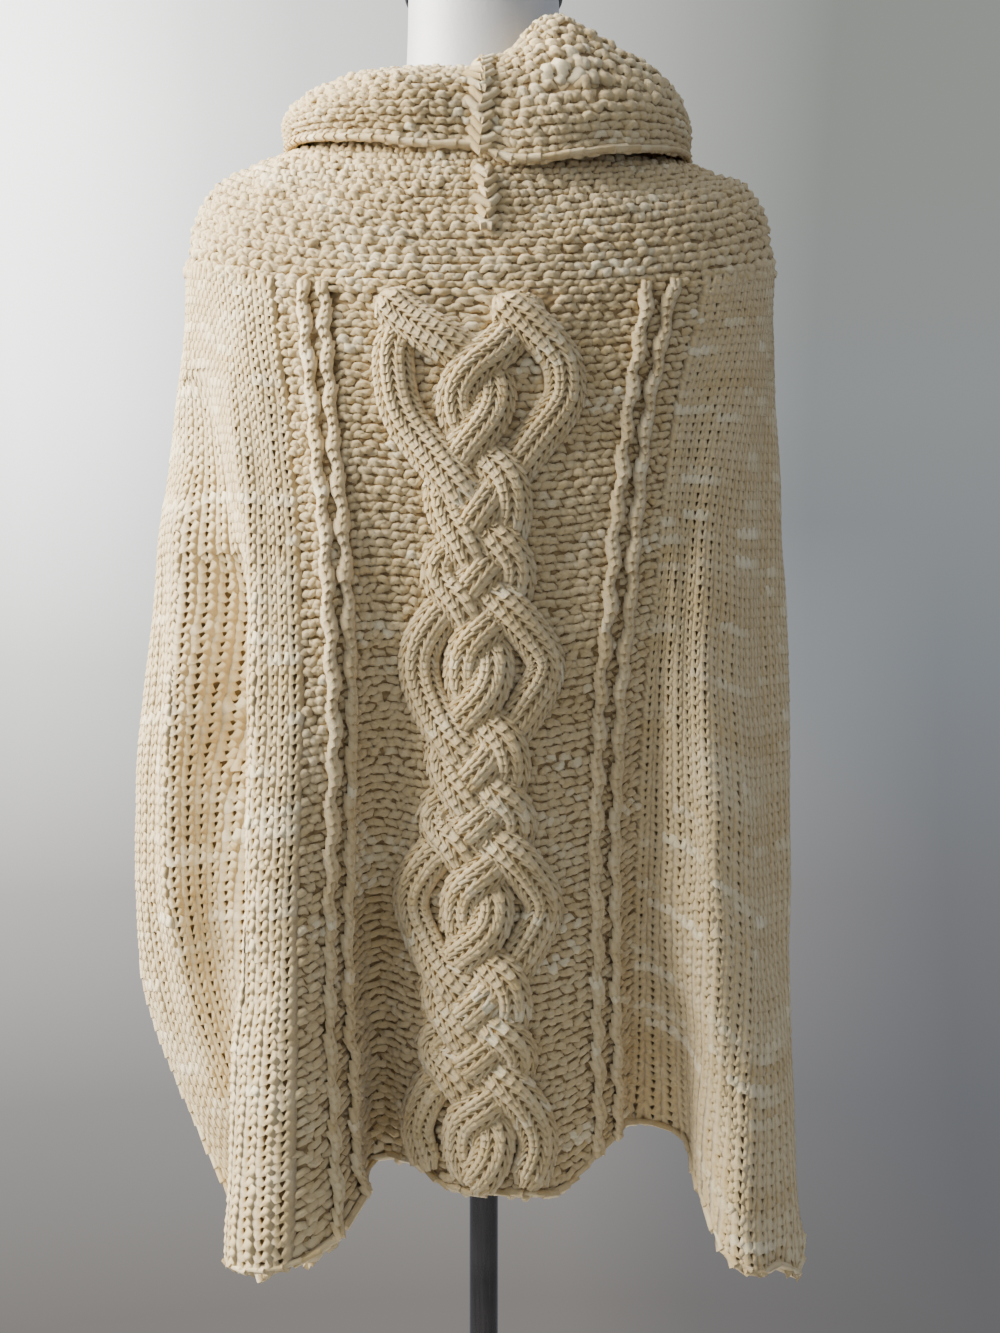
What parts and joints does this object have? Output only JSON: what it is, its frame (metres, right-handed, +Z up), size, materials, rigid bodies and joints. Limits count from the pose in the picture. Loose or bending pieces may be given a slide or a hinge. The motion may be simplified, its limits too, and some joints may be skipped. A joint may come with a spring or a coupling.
{
  "type": "knitted poncho sweater on dress form",
  "caption": "Chunky knitted poncho with a folded cowl collar, round yoke and side vents, on a limbless dress form with a pole and round base.",
  "frame": {"origin": "centre of the stand base's underside, on the pole's axis", "axes": "+Z up along the pole; -Y is the way the garment's back and its cable face; +X is to the right for someone who looks at that back"},
  "size_m": [0.4813, 0.3251, 1.5343],
  "materials": {
    "knit": "chunky cream slub yarn, reverse stockinette, stockinette and cables",
    "form_shell": "smooth white shell with a soft sheen",
    "cap": "black moulded cap",
    "pole_metal": "dark plated tube",
    "base_enamel": "black enamelled steel"
  },
  "bodies": {
    "root": {"yoke": "knit", "cowl_collar": "knit", "back_panel": "knit", "front_panel": "knit", "dress_form": "form_shell", "neck_cap": "cap", "pole_sleeve": "pole_metal", "pole": "pole_metal", "stand_base": "base_enamel"}
  },
  "joints": []
}
